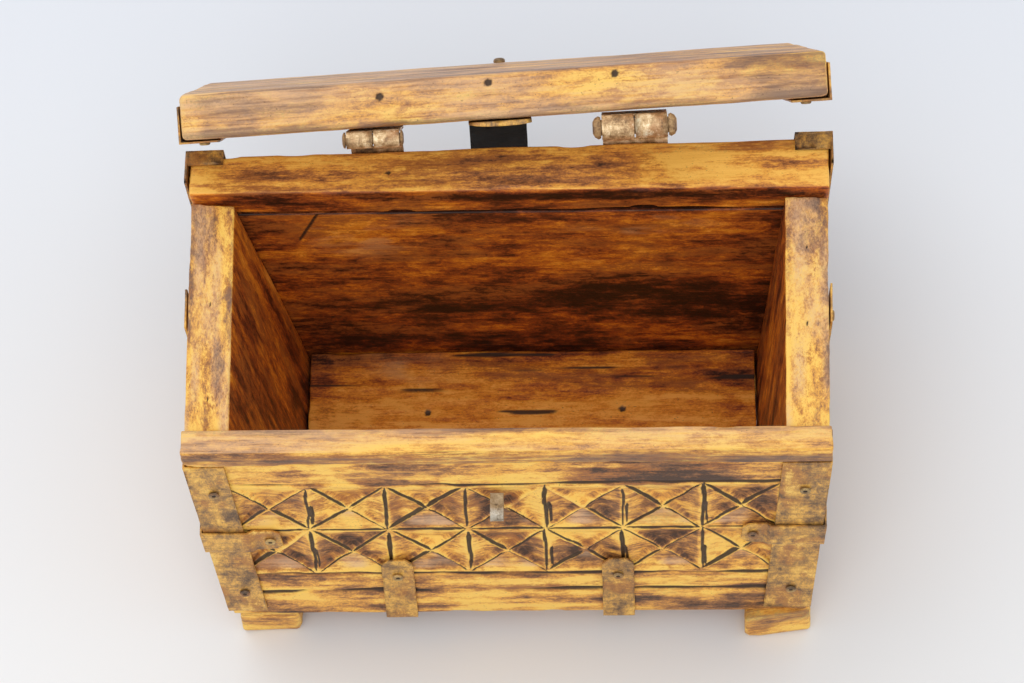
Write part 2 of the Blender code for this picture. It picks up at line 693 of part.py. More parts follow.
def leaf_nails(root, lid, place):
    for side, label in SIDES:
        frame = hinge_frame(side)
        face = back_face(HINGE_X[side]) + GAP + EYE_WALL[side] - PIN_POINT[side].y
        drop = -EYE_RADIUS[side] + EYE_WALL[side] / 2
        drop_end = BOX_BEND - BOX_LEAF_DROP - PIN_POINT[side].z
        box_point = (0, face, drop_end + LEAF_NAIL_MARGIN)
        lid_point = (0, -LID_LEAF_REACH + LEAF_NAIL_MARGIN, drop)
        nail("nail_hinge_box_" + label, root, box_point, (0, 1, 0), frame)
        nail("nail_hinge_lid_" + label, lid, lid_point, (0, 0, 1), place @ frame)


# ---------------------------------------------------------------- hasp

def hasp_axis():
    """The hasp's pin in the lid's frame."""
    clear = 2 * GAP + STRAP + HASP_EYE_RADIUS + HASP_EYE_SPACE
    return Vector((HASP_X, -LID_LENGTH - clear, HASP_AXIS_W))


def hasp_bracket(lid, place):
    """Band over the lid, bent down its front edge, with a lug at each end that holds the hasp's pin."""
    lug = HASP_LUG
    half = HASP_WIDTH / 2 + HASP_LUG_SPACE + lug
    back = -LID_LENGTH - GAP
    axis = hasp_axis()
    matrix = place @ lid_frame()
    top = LID_THICKNESS + GAP
    plate = solid("hasp_bracket", "strap", lid, (HASP_X - half, HASP_X + half), (back - STRAP, back),
                  (LID_EDGE + GAP, top + HASP_BAND / 2), matrix=matrix)
    band = solid("band", "strap", lid, (HASP_X - HASP_WIDTH / 2, HASP_X + HASP_WIDTH / 2),
                 (back - STRAP * 0.8, -HASP_BAND_MARGIN), (top, top + HASP_BAND), matrix=matrix)
    boolean(plate, band, "UNION")
    for name, x in (("lug_a", HASP_X - half), ("lug_b", HASP_X + half - lug)):
        body = solid(name, "strap", lid, (x, x + lug), (axis.y - lug, back - STRAP / 2),
                     (axis.z - lug, axis.z + 2 * lug), matrix=matrix)
        boolean(plate, body, "UNION")
    for name, kind, radius, overrun in (("pin_hole", "strap", HASP_PIN_RADIUS + GAP, lug),
                                        ("hasp_pin", "steel", HASP_PIN_RADIUS, STRAP / 2)):
        bm = bmesh.new()
        tube(bm, Matrix.Translation(axis), 0, radius, 2 * (half + overrun), 20)
        rod = finish(name, bm, kind, lid, matrix, smooth=True)
        if name == "pin_hole":
            boolean(plate, rod, "DIFFERENCE")
    point = (HASP_X + RIVET_OFFSET, -LID_LENGTH + RIVET_INSET, 0)
    nail("hasp_rivet", lid, point, (0, 0, -1), matrix, RIVET_RADIUS, RIVET_HEIGHT)


def hasp(pivot):
    """Strap that hangs from its pin; the slot near its end drops over the staple."""
    half = HASP_WIDTH / 2
    wall = HASP_THICKNESS
    ring = HASP_EYE_RADIUS
    bm = bmesh.new()
    tube(bm, Matrix.Identity(4), ring - wall / 2, ring + wall / 2, HASP_WIDTH, 24)
    eye = finish("hasp_plate", bm, "black_iron", pivot, smooth=True)
    corner = HASP_CORNER
    outline = [(-half, 0), (half, 0)]
    outline += list(arc((half - corner, -HASP_LENGTH + corner), corner, 0, -90, 5))
    outline += list(arc((-half + corner, -HASP_LENGTH + corner), corner, -90, -180, 5))
    bm = bmesh.new()
    extrude_outline(bm, outline, 1, (ring - wall / 2, ring + wall / 2))
    boolean(eye, finish("hasp_strip", bm, "black_iron", pivot), "UNION")
    drop = hasp_drop()
    wide = STAPLE_WIDTH / 2 + SLOT_MARGIN.x
    high = STAPLE_HEIGHT / 2 + SLOT_MARGIN.y
    across = STAPLE_X - HASP_X
    slot = solid("hasp_slot", "black_iron", pivot, (across - wide, across + wide),
                 (ring - 4 * wall, ring + 4 * wall), (-drop - high, -drop + high))
    boolean(eye, slot, "DIFFERENCE")


def hasp_drop():
    """Height of the hasp's pin above the staple with the lid shut."""
    return (lid_frame() @ hasp_axis()).z - STAPLE_MIDDLE


# ---------------------------------------------------------------- assembly

def build():
    clear_scene()
    root = empty("box_root", Matrix.Identity(4), None)
    for make in (front_board, front_rail, back_boards, side_boards, floor_board, feet,
                 front_corner_straps, wrap_straps, side_straps, back_corner_straps, base_straps,
                 front_nails, side_nails, back_nails, staple, box_leaves, hinge_pins):
        make(root)

    pin = PIN_POINT[-1]
    turn_back = Matrix.Rotation(-LID_OPEN, 4, hinge_axis())
    lid = empty("lid_pivot", Matrix.Translation(pin) @ turn_back, root)
    place = Matrix.Translation(-pin)
    for make in (lid_board, lid_end_straps, lid_nails, lid_leaves, hasp_bracket):
        make(lid, place)
    leaf_nails(root, lid, place)

    hang = Matrix.Rotation(LID_OPEN - 2 * math.pi - LID_PITCH, 4, "X")
    hasp_pivot = empty("hasp_pivot", place @ lid_frame() @ Matrix.Translation(hasp_axis()) @ hang, lid)
    hasp(hasp_pivot)
    centre_on_origin(root)


def centre_on_origin(root):
    """Move the box so that the middle of its footprint, lid included, is the origin."""
    bpy.context.view_layer.update()
    graph = bpy.context.evaluated_depsgraph_get()
    points = []
    for obj in bpy.context.scene.objects:
        if obj.type == "MESH" and not obj.hide_render:
            solved = obj.evaluated_get(graph)
            points += [solved.matrix_world @ vert.co for vert in solved.data.vertices]
    for axis in (0, 1):
        values = [point[axis] for point in points]
        root.location[axis] -= (min(values) + max(values)) / 2
    bpy.context.view_layer.update()


build()
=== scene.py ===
"""Looks of a hand-made jewelry box: hewn boards, chip carving, worn gold paint and iron straps.

Lengths inside the shape functions are in millimetres, in a board's own axes (along, across, through);
points go into the frame, in metres, at the end.
"""
import itertools
import json
import math
import random

import bmesh
import bpy
import numpy as np
from mathutils import Matrix, Vector

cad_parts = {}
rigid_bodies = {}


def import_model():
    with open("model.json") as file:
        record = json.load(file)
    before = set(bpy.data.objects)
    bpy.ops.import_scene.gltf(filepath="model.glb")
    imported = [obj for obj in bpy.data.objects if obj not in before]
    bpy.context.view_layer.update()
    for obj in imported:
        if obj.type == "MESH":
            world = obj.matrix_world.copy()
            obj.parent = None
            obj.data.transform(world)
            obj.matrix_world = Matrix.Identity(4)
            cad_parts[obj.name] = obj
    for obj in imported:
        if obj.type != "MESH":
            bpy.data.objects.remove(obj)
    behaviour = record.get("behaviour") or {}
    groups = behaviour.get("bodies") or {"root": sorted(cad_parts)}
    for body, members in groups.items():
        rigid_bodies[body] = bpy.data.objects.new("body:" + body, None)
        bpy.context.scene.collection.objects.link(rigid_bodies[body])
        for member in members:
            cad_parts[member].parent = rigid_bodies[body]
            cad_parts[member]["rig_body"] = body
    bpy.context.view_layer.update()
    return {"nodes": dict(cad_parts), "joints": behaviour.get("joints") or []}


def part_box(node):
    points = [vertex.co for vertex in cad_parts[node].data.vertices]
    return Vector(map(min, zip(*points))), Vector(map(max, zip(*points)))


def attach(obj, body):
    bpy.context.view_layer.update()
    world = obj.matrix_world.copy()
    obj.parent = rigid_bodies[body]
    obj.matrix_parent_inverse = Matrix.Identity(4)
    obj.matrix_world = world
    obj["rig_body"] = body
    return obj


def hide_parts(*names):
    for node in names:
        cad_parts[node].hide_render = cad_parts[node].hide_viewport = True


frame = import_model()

MM = 0.001
SIDES = ("left", "right")

# Carved band of the front, measured from the middle and the foot of the front board
BAND_LEFT = -110.0
CELL = np.array((30.9, 33.8))
COLUMNS, ROWS = 7, 2
BAND_FOOT = 33.4
BAND_TOP = BAND_FOOT + ROWS * CELL[1]
CHIP_DEPTH = 2.9
CHIP_SLOPE = 0.30                   # of a chip's long side, which runs out towards the panel's edge
RIDGE = 1.3                         # width of wood left between two chips
GROOVE_HEIGHTS = (18.3, 32.0, 102.5)
STRAY = 0.55                        # how far the knife strays from the layout
FINE, COARSE = 0.55, 1.1            # spacing of the front's points, inside and outside the band
MARGIN = 2.0                        # how far the fine spacing reaches past the band
FEWER_FACES = 0.58                  # share of the front's faces that is kept
# Brown stretches of the plain band above it: where each begins, is full, starts to fade and ends
BROWN_PATCHES = ((-66, -58, -28, -20), (28, 44, 76, 90))

# Hewn boards: length of the plane's waves along and across the grain, and what sets two boards' grain apart
WAVE_ALONG, WAVE_ACROSS = 60.0, 9.0
GRAIN_SHIFT = np.array((311.0, 173.0, 97.0))

# Forged straps
SHARP_ANGLE = math.radians(35)
STRAP_STEP, LEAF_STEP = 2.6, 2.2     # spacing of the points on straps and hinge leaves
HAMMER_DENT = 0.16
# Rounded ends: the axis that the end points along, the axis across it, the direction, the reach
ROUNDED_ENDS = {"base_strap_left": (2, 0, 1, 5), "base_strap_right": (2, 0, 1, 5),
                "wrap_strap_left": (0, 2, 1, 5), "wrap_strap_right": (0, 2, -1, 5)}
# Paint left on each kind of strap
STRAP_GOLD = {"lid_strap": 0.44, "side_strap": 0.55, "corner_strap": 0.49, "wrap_strap": 0.50,
              "base_strap": 0.50, "hasp_bracket": 0.45}
EYE_SLIMMING = 0.24
BAND_HAMMERED = 0.85                # share of the hasp band's height that is lost at its two ends
NAIL_SIDES = 22

# Camera of the photograph; its place is counted from the table under the middle of the front's face
CAMERA_PLACE = Vector((0.0579, -0.888775, 1.6234))
CAMERA_ELEVATION = math.radians(57.57)
CAMERA_YAW = math.radians(3.41)
CAMERA_ROLL = math.radians(-3.44)
SENSOR, LENS = 36.0, 158.2


# ---------------------------------------------------------------- noise

def cell_value(cell, seed):
    """A repeatable number from 0 to 1 for each whole-numbered place."""
    mixed = cell[:, 0] * 374761393 + cell[:, 1] * 668265263 + cell[:, 2] * 1440662683 + seed * 974634777
    mixed = mixed & 0xFFFFFFFF
    mixed = ((mixed ^ (mixed >> 13)) * 1274126177) & 0xFFFFFFFF
    mixed = mixed ^ (mixed >> 16)
    return (mixed & 0xFFFF) / 65535.0


def noise(points, size, seed):
    """Smooth noise from -1 to 1; size is that of one bump, along each axis."""
    place = points / np.asarray(size, float)
    base = np.floor(place).astype(np.int64)
    part = place - base
    part = part ** 3 * (part * (part * 6 - 15) + 10)
    total = np.zeros(len(points))
    for corner in itertools.product((0, 1), repeat=3):
        weight = np.prod(np.where(corner, part, 1 - part), axis=1)
        total += weight * cell_value(base + np.array(corner), seed)
    return total * 2 - 1


def fractal(points, size, seed, octaves=3):
    """Noise with finer noise on it, from about -1 to 1."""
    size = np.asarray(size, float) * np.ones(3)
    total, weight = 0, 1.0
    for octave in range(octaves):
        total = total + weight * noise(points, size / 2 ** octave, seed + 17 * octave)
        weight *= 0.55
    return total


def ramp(value, low, high):
    """0 below low, 1 above high, smooth between."""
    share = np.clip((value - low) / (high - low), 0, 1)
    return share * share * (3 - 2 * share)


def hill(value, middle, width):
    """1 at the middle, falling to 0 on both sides."""
    return np.exp(-((value - middle) / width) ** 2)


# ---------------------------------------------------------------- meshes

def make_piece(name, points, faces, material, body, stands_for, paint):
    """Mesh in the frame, in metres, that rides on a body. paint holds values for the materials."""
    mesh = bpy.data.meshes.new(name)
    mesh.from_pydata([tuple(p) for p in points], [], [tuple(f) for f in faces])
    for key, values in paint.items():
        values = np.asarray(values, np.float32)
        kind, field = ("FLOAT_VECTOR", "vector") if values.ndim == 2 else ("FLOAT", "value")
        mesh.attributes.new(key, kind, "POINT").data.foreach_set(field, values.ravel())
    mesh.shade_smooth()
    mesh.materials.append(material)
    piece = bpy.data.objects.new(name, mesh)
    bpy.context.scene.collection.objects.link(piece)
    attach(piece, body)
    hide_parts(*stands_for)
    return piece


def body_of(node):
    return frame["nodes"][node]["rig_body"]


def node_points(node):
    return np.array([v.co for v in frame["nodes"][node].data.vertices])


def long_axes(points):
    """Unit axes of a flat piece: longest, middle and thinnest, the first two pointing to +X and +Y or +Z."""
    axes = np.linalg.svd(points - points.mean(0), full_matrices=False)[2]
    first = axes[0] * np.sign(axes[0][0] or 1)
    third = axes[2] * np.sign(axes[2][2] or 1)
    return np.array((first, np.cross(third, first), third))


def solid_corners(node, axes):
    """The eight corners of a sharp-edged board by the end of each axis, in metres, and its size in mm."""
    points = node_points(node)
    local = points @ axes.T
    low, high = local.min(0), local.max(0)
    size = high - low
    corners = np.zeros((2, 2, 2, 3))
    for ends in itertools.product((0, 1), repeat=3):
        towards = (np.array(ends) * 2 - 1) / size
        corners[ends] = local[np.argmax(local @ towards)]
    flat = corners.reshape(-1, 3)
    middle = (low + high) / 2
    flat = (flat - middle) * (size / (flat.max(0) - flat.min(0))) + middle
    return (flat @ axes).reshape(2, 2, 2, 3), size / MM


def block_grid(marks):
    """Points and quads over the skin of a box; marks are the places of the grid lines on each axis."""
    skin = np.zeros([len(m) for m in marks], bool)
    for axis, end in itertools.product(range(3), (0, -1)):
        where = [slice(None)] * 3
        where[axis] = end
        skin[tuple(where)] = True
    index = np.full(skin.shape, -1)
    index[skin] = np.arange(skin.sum())
    spots = np.argwhere(skin)
    points = np.stack([np.asarray(marks[a])[spots[:, a]] for a in range(3)], axis=1)
    quads = []
    for axis, end in itertools.product(range(3), (0, -1)):
        where = [slice(None)] * 3
        where[axis] = end
        sheet = index[tuple(where)]
        ring = np.stack([sheet[:-1, :-1], sheet[1:, :-1], sheet[1:, 1:], sheet[:-1, 1:]], -1).reshape(-1, 4)
        quads.append(ring[:, ::-1] if (end == 0) != (axis == 1) else ring)
    return points, np.concatenate(quads)


def even_marks(length, step):
    return np.linspace(0, length, max(2, round(length / step)) + 1)


def into_corners(corners, share):
    """Points given as shares of a box, placed in the eight-cornered solid."""
    total = 0
    for ends in itertools.product((0, 1), repeat=3):
        weight = np.prod(np.where(ends, share, 1 - share), axis=1)
        total = total + weight[:, None] * corners[ends]
    return total


def rounded(points, size, radius):
    """Points of a box with its edges rounded to a radius that may vary, and their outward directions."""
    radius = np.minimum(radius, 0.45 * size.min())[:, None]
    core = np.clip(points, radius, size - radius)
    out = points - core
    out /= np.linalg.norm(out, axis=1, keepdims=True)
    return core + out * radius, out


def edge_distance(points, size):
    """How far each point of a box's skin lies from the nearest edge."""
    gaps = np.sort(np.minimum(points, size - points), axis=1)
    return gaps[:, 1]


class Board:
    """A hewn board in the place of a CAD node: a box grid with worn edges and a hand-planed surface."""

    def __init__(self, node, grain=0, axes=None, step=1.1, radius=1.6, least=0.35, wear=1.0, waves=0.3,
                 seed=1, marks=None):
        """The grain follows the axis grain; radius, least and wear shape the edges, waves the faces."""
        self.node, self.seed = node, seed
        self.axes = np.eye(3) if axes is None else axes
        self.corners, self.size = solid_corners(node, self.axes)
        marks = marks or [even_marks(length, step) for length in self.size]
        self.flat, self.quads = block_grid(marks)
        self.edge = edge_distance(self.flat, self.size)
        stretch = np.array([WAVE_ALONG if a == grain else WAVE_ACROSS for a in range(3)])
        chipped = ramp(noise(self.flat, 14, seed + 3), 0.35, 0.9) * wear * 1.6
        radius = radius * (0.75 + 0.35 * noise(self.flat, 22, seed)) + chipped
        local, self.out = rounded(self.flat, self.size, np.maximum(radius, least))
        dips = waves * (1 + fractal(self.flat, stretch, seed + 5)) / 2
        dips += waves * 0.5 * (1 + noise(self.flat, 30, seed + 9)) / 2
        dips += 0.12 * (1 + noise(self.flat, stretch / 5, seed + 11))
        self.local = local - self.out * dips[:, None]
        self.grain = np.roll(self.flat, -grain, axis=1) + GRAIN_SHIFT * seed
        self.paint = {}

    def sink(self, depth):
        """Push the surface in by a depth at each point."""
        self.local = self.local - self.out * depth[:, None]

    def pit(self, centre, radius, depth, axis):
        """A nail hole or a knot on the side of the board that faces along the signed axis."""
        facing = self.out[:, abs(axis) - 1] * np.sign(axis) > 0.8
        others = [a for a in range(3) if a != abs(axis) - 1]
        away = np.linalg.norm(self.flat[:, others] - np.array(centre), axis=1)
        bowl = facing * ramp(-away / radius, -1, -0.35)
        self.sink(bowl * depth)
        self.paint["cut"] = np.maximum(self.paint.get("cut", 0), bowl)

    def faces(self, axis):
        """Where the board faces along a signed axis, from 0 to 1."""
        return ramp(self.out[:, abs(axis) - 1] * np.sign(axis), 0.45, 0.75)

    def build(self, material, gold, soot, name=None):
        """The finished piece; gold gives each point's paint, the other mask its soiling and painted shade."""
        points = into_corners(self.corners, self.local / self.size)
        wear = np.exp(-self.edge / 2.2)
        gold = gold + 0.10 * wear * (1 + noise(self.flat, 16, self.seed + 13))
        paint = {"grain": self.grain, "gold": gold, "soot": soot}
        for key in ("cut", "bare", "inside"):
            paint[key] = self.paint.get(key, np.zeros(len(points)))
        return make_piece(name or self.node + "_hewn", points, self.quads, material, body_of(self.node),
                          (self.node,), paint)


# ---------------------------------------------------------------- carving of the front

def chip_depth(x, z):
    """Three-cornered chips, steep under the saltire and running out towards the panel's edge.

    Gives their depth, how much painted shade each point gets (most on the steep walls of the lower chips),
    where worn wood shows in the lower chips, and each chip's own share of paint.
    """
    u, v = (x - BAND_LEFT) / CELL[0], (z - BAND_FOOT) / CELL[1]
    inside = (u > 0) & (u < COLUMNS) & (v > 0) & (v < ROWS)
    px, pz = (u % 1) * CELL[0], (v % 1) * CELL[1]
    diagonal = math.hypot(*CELL)
    rising = (px * CELL[1] - pz * CELL[0]) / diagonal
    falling = (px * CELL[1] + pz * CELL[0] - CELL[0] * CELL[1]) / diagonal
    below, left = rising > 0, falling < 0
    low = below & left
    base = np.where(low, pz, np.where(below, CELL[0] - px, np.where(left, px, CELL[1] - pz)))
    saltire = np.minimum(abs(rising), abs(falling)) - RIDGE / 2
    chip = np.stack([np.floor(u), np.floor(v), below * 2.0 + left], axis=1).astype(np.int64)
    full = CHIP_DEPTH * (0.5 + 0.5 * cell_value(chip, 5))
    steep, gentle = saltire * np.where(low, 1.9, 1.05), (base - RIDGE / 2) * CHIP_SLOPE
    depth = np.where(inside, np.clip(np.minimum(steep, gentle), 0, full), 0)
    # Painted shade on the steep walls: full in the lower chips, 0.55 in the others
    shade = np.where(low, 1.0, 0.55) * ramp(depth, 0.1, 0.9) * (steep < gentle)
    lower = ramp(depth, 0.2, 0.9) * low
    worn = (cell_value(chip, 8) - 0.5) * ramp(depth, 0.05, 0.4)
    return depth, shade, lower, worn


def stroke_list():
    """V cuts along the saltires, the uprights and the middle line, each a start, an end and a width."""
    rng = random.Random(11)
    strokes = []

    def stroke(start, end, chance, width):
        if rng.random() > chance:
            return
        start, end = np.array(start), np.array(end)
        along = (end - start) / np.linalg.norm(end - start)
        side = np.array((-along[1], along[0])) * rng.choice((-0.7, 0.7, 0.9))
        first = start + (end - start) * rng.uniform(-0.02, 0.05) + side * 0.5
        last = start + (end - start) * rng.uniform(0.94, 1.03) + side * rng.uniform(0.0, 0.8)
        strokes.append((first, last, width * rng.uniform(0.75, 1.25)))

    for column, row in itertools.product(range(COLUMNS), range(ROWS)):
        low = np.array((BAND_LEFT + column * CELL[0], BAND_FOOT + row * CELL[1]))
        middle = low + CELL / 2
        for corner in itertools.product((0, 1), repeat=2):
            stroke(low + CELL * corner, middle, 0.93, 1.6)
        if column:
            stroke(low, low + (0, CELL[1]), 0.93, 1.6)
            stroke(low + (1.8, CELL[1] * 0.1), low + (1.4, CELL[1] * 0.6), 0.35, 1.5)
        if row:
            stroke(low, low + (CELL[0], 0), 0.93, 1.8)
    return strokes


def stroke_depth(x, z):
    """Depth of the V cuts, tapering to both ends."""
    depth = np.zeros(len(x))
    spots = np.stack([x, z], axis=1)
    for start, end, width in stroke_list():
        low, high = np.minimum(start, end) - width, np.maximum(start, end) + width
        near = np.all((spots > low) & (spots < high), axis=1)
        along = end - start
        away = spots[near] - start
        share = np.clip(away @ along / (along @ along), 0, 1)
        distance = np.linalg.norm(away - share[:, None] * along, axis=1)
        half = width / 2 * np.clip(np.minimum(share, 1 - share) * 7, 0, 1) ** 0.6 * (0.8 + 0.4 * share)
        depth[near] = np.maximum(depth[near], np.clip(half - distance, 0, None) * 1.5)
    return depth


def groove_depth(x, z):
    """Incised lines that run the length of the board, uneven as they are cut by hand."""
    line = np.stack([x, x * 0, x * 0], axis=1)
    depth = np.zeros(len(x))
    for number, height in enumerate(GROOVE_HEIGHTS):
        wander = height + 0.7 * noise(line, 40, 60 + number)
        half = 1.4 + 0.9 * noise(line, 25, 70 + number)
        depth = np.maximum(depth, np.clip(half - abs(z - wander), 0, None) * 0.9)
    return depth


def front_board(material):
    """Front with its carved band, denser in points than the other boards."""
    low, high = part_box("front_board")
    width, height = (high.x - low.x) / MM, (high.z - low.z) / MM
    foot_line, top_line = BAND_FOOT - MARGIN, BAND_TOP + MARGIN
    z_marks = np.concatenate([np.arange(0, foot_line, COARSE), np.arange(foot_line, top_line, FINE),
                              np.linspace(top_line, height, round((height - top_line) / COARSE) + 1)])
    marks = [even_marks(width, FINE), even_marks((high.y - low.y) / MM, 1.4), z_marks]
    board = Board("front_board", radius=0.9, waves=0.25, seed=3, marks=marks)
    place = into_corners(board.corners, board.local / board.size)
    x = (place[:, 0] - (low.x + high.x) / 2) / MM
    z = (place[:, 2] - low.z) / MM
    flat = np.stack([x, z, x * 0], axis=1)
    x = x + STRAY * noise(flat, 9, 21)
    z = z + STRAY * noise(flat, 9, 22)
    front = board.out[:, 1] < -0.7
    chips, shade, lower, worn = chip_depth(x, z)
    cuts, lines = stroke_depth(x, z), groove_depth(x, z)
    rough = 0.10 * (1 + fractal(flat, 4.0, 23, 2)) * ramp(chips, 0, 0.8)
    board.sink(np.where(front, chips + cuts + lines * 0.8 + rough, 0))
    # Painted shade: the V cuts and grooves are darkened towards near black
    dark = cuts * 2.2 + lines * 0.8 * (1 + noise(flat, (16, 4, 4), 25))
    board.paint["cut"] = np.where(front, np.clip(dark, 0, 1), 0)
    board.paint["bare"] = np.where(front, lower * (0.40 + 0.5 * noise(flat, 9, 26)), 0)

    band = ramp(z, foot_line, BAND_FOOT + 2) * (1 - ramp(z, BAND_TOP - 1, BAND_TOP + 3))
    # Uncut ridges gain gold, partly worn paint and partly painted highlight; steep walls and deep chips lose
    # gold as painted shade
    ridge_wear_and_highlight = band * hill(chips, 0, 0.35)
    gold = 0.57 + 0.01 * band - 0.18 * shade * (1 + 0.6 * noise(flat, 7, 27))
    gold += 0.32 * worn + 0.16 * ridge_wear_and_highlight - 0.10 * ramp(chips, 0.6, 2.2)
    gold += band * (0.12 * fractal(flat, 5, 38, 2) + 0.08 * ramp(-x, 30, 60))
    gold += 0.26 * fractal(flat, (46, 5, 9), 31, 2) * (1 - band) + 0.13 * fractal(flat, 16, 32, 2)
    upper = ramp(z, BAND_TOP - 1, BAND_TOP + 2)
    ragged = x + 7 * noise(flat, 6, 33)
    brown = sum(ramp(ragged, begin, full) * (1 - ramp(ragged, fading, end))
                for begin, full, fading, end in BROWN_PATCHES)
    gold += upper * (0.18 * hill(x, 4, 15) - 0.30 * brown)
    # The steep chip walls also darken here as painted shade
    soot = 0.16 + 0.16 * fractal(flat, (30, 10, 10), 36, 2) + 0.10 * upper * brown + 0.14 * shade
    inner = board.out[:, 1] > 0.7
    gold = np.where(inner, 0.35 + 0.2 * fractal(flat, (40, 10, 10), 37, 2), gold)
    piece = board.build(material, gold, soot, "front_board_carved")
    piece.modifiers.new("Fewer faces", "DECIMATE").ratio = FEWER_FACES
    return piece


# ---------------------------------------------------------------- other boards

def front_rail(material):
    """Moulding along the top of the front: painted shade under its nose and inner edge, worn wood and painted
    sheen on top.
    """
    board = Board("front_rail", step=0.9, radius=1.5, waves=0.5, wear=0.9, seed=7)
    _, across, up = board.flat.T
    board.paint["cut"] = ramp(fractal(board.flat, (50, 1.6, 1.2), 41, 2), 0.6, 0.95) * 0.4
    # Pale timber on the top face: partly worn wood, partly painted sheen
    board.paint["bare"] = board.faces(3) * (0.42 + 0.4 * noise(board.flat, (45, 8, 8), 48))
    # Painted shade: the lower part of the front face, under the nose, loses gold and darkens
    low = board.faces(-2) * ramp(-up + 1.5 * noise(board.flat, (30, 40, 40), 44), -7.5, -4.5)
    # Painted shadow: a dark strip along the inner edge of the top face
    inner_edge_shadow = ramp(across, 7.5, 10) * board.faces(3)
    gold = 0.58 + 0.13 * fractal(board.flat, (55, 5, 4), 42, 2) - 0.10 * low
    gold -= 0.28 * inner_edge_shadow * (0.7 + 0.5 * noise(board.flat, (40, 9, 9), 47))
    soot = 0.20 + 0.36 * low + 0.18 * fractal(board.flat, (40, 4, 3), 43, 2) + 0.25 * inner_edge_shadow
    return board.build(material, gold, soot)


def back_rail(material):
    """Rail that carries the hinges: brighter at its ends, stained inside."""
    board = Board("back_rail", radius=1.9, waves=0.6, wear=1.2, seed=12)
    along, across, _ = board.flat.T
    inner = board.faces(-2)
    board.paint["inside"] = 0.35 + 0.65 * inner
    gold = 0.57 + 0.19 * fractal(board.flat, (50, 6, 5), 45, 2)
    gold += 0.12 * ramp(across, 10, 20) - 0.20 * inner
    gold -= 0.10 * ramp(along, 60, 120) * (1 - ramp(along, 170, 200))
    gold += 0.12 * (ramp(-along, -30, -5) + ramp(along, board.size[0] - 25, board.size[0] - 5))
    soot = 0.08 + 0.15 * fractal(board.flat, (30, 8, 4), 46, 2)
    soot += 0.3 * ramp(along, 150, 190) * ramp(across, 15, 21)
    board.pit((80, 12), 1.6, 0.8, 3)
    return board.build(material, gold, soot)


def back_panel(material):
    """Lower back board: its grain bows, with scuffs at both upper corners and a crack."""
    board = Board("back_panel", radius=0.8, waves=0.4, seed=15)
    along, _, up = board.flat.T
    inner = board.faces(-2)
    # The top edge also takes the inside tones: part of a painted seam shadow under the rail
    board.paint["inside"] = np.maximum(inner, board.faces(3))
    middle = board.size[0] / 2
    bowed = board.flat + np.stack([0 * along, 0 * along, 0.0011 * (along - middle) ** 2], axis=1)
    left = hill(along, middle - 62, 24) * ramp(up, 72, 96)
    right = hill(along, middle + 55, 34) * ramp(up - 0.25 * (along - middle - 55), 62, 92)
    gold = 0.60 - 0.18 * inner + 0.13 * fractal(bowed, (60, 12, 13), 47, 3)
    # The last term darkens the top edge as painted shade of the seam
    gold += inner * (0.16 * (left + right) - 0.12 * hill(up, 50, 20)) - 0.35 * board.faces(3)
    scuffs = ramp(fractal(bowed, (24, 9, 8), 63, 3), 0.05, 0.7)
    board.paint["bare"] = inner * np.minimum(left + 0.8 * right, 1) * scuffs * 0.75
    drop = board.size[2] - up
    crack = inner * hill(along, middle - 77 - drop * 0.5, 0.7) * ramp(-drop, -21, -18)
    board.sink(0.9 * crack)
    board.paint["cut"] = crack
    soot = 0.20 - 0.16 * inner + 0.12 * fractal(board.flat, (40, 12, 12), 48, 2)
    return board.build(material, gold, soot)


def floor_board(material):
    """Floor inside: ochre, with painted shade along the back and the ends, long cracks and a scuff at the
    back.
    """
    board = Board("floor_board", radius=0.8, waves=0.5, seed=18)
    along, across, _ = board.flat.T
    board.paint["inside"] = np.ones(len(along))
    # Less gold towards the back and the ends: painted shade along the walls
    gold = 0.77 + 0.17 * fractal(board.flat, (60, 9, 9), 49, 3) - 0.26 * ramp(across, 84, 102)
    gold -= 0.20 * (ramp(-along, -14, -4) + ramp(along, board.size[0] - 20, board.size[0] - 6))
    soot = 0.04 + 0.10 * fractal(board.flat, (40, 9, 9), 50, 2)
    scuff = hill(along, 42, 22) * ramp(across + 0.2 * (along - 42), 88, 96)
    board.paint["bare"] = scuff * (0.6 + 0.4 * noise(board.flat, 9, 64))
    board.paint["cut"] = ramp(fractal(board.flat, (46, 1.5, 1.5), 57, 2), 0.55, 0.95) * 0.8
    for spot in ((50, 78), (131, 79), (140, 52)):
        board.pit(spot, 2.0, 0.8, 3)
    return board.build(material, gold, soot)


def side_board(side, material):
    """Leaning side, streaked downwards, with a blotched top edge that holds two nails."""
    seed = {"left": 21, "right": 26}[side]
    board = Board("side_board_" + side, grain=2, radius=1.5, waves=0.5, seed=seed)
    x, y, _ = board.flat.T
    inward = {"left": 1, "right": -1}[side]
    inner, top = board.faces(inward), board.faces(3)
    board.paint["inside"] = inner * (1 - top)
    # Pale timber on the top edge: partly worn wood, partly painted sheen
    board.paint["bare"] = top * (0.36 + 0.4 * noise(board.flat, (9, 26, 9), 62))
    share = x / board.size[0] if side == "left" else 1 - x / board.size[0]
    patch = fractal(np.stack([x, y, 0 * x], axis=1), (10, 30, 9), 52, 3)
    gold = 0.56 - 0.12 * inner + 0.12 * fractal(board.flat, (7, 7, 70), 51, 3)
    gold = gold * (1 - top) + top * (0.60 + 0.14 * patch + 0.14 * (share - 0.5))
    soot = 0.06 + top * (0.26 - 0.22 * patch - 0.2 * (share - 0.5))
    soot += 0.10 * fractal(board.flat, (8, 8, 40), 53, 2)
    for y_spot in ((16, 60) if side == "left" else (48, 84)):
        board.pit((board.size[0] * 0.5, y_spot), 1.1, 0.9, 3)
    return board.build(material, gold, soot)


